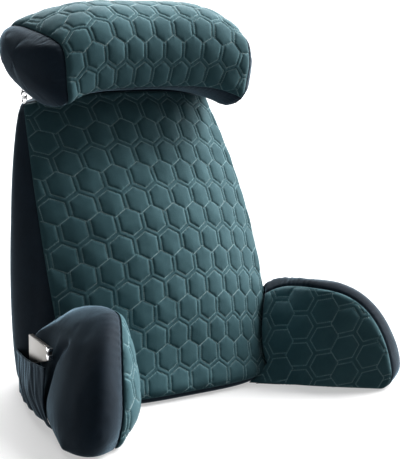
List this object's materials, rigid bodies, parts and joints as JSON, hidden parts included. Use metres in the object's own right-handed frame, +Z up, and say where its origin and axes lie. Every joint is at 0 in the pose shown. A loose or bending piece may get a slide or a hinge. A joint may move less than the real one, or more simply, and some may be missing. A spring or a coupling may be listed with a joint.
{
  "type": "reading pillow with arms",
  "caption": "Wedge-shaped reading pillow with a quilted velvet front, splayed half-moon arms, a side pocket and a bolster headrest hooked to the top corners.",
  "frame": {"origin": "on the floor under the middle of the pillow's bounding box", "axes": "the quilted front and the arms face -Y, +X is to the right as the front is looked at, +Z up"},
  "size_m": [0.7051, 0.5352, 0.6858],
  "materials": {
    "velvet": "plain dark teal velvet",
    "quilted_velvet": "teal velvet quilted in hexagons",
    "steel": "bright plated links",
    "brushed_steel": "light grey satin case"
  },
  "bodies": {
    "root": {"back_cushion": "velvet", "back_quilt": "quilted_velvet", "arm_left": "velvet", "arm_quilt_left": "quilted_velvet", "arm_right": "velvet", "arm_quilt_right": "quilted_velvet", "headrest": "velvet", "headrest_quilt": "quilted_velvet", "pocket_left": "velvet", "plate_left": "brushed_steel", "hook_left_1": "steel", "hook_left_2": "steel", "hook_left_3": "steel", "hook_left_4": "steel", "hook_right_1": "steel", "hook_right_2": "steel", "hook_right_3": "steel", "hook_right_4": "steel"}
  },
  "joints": []
}
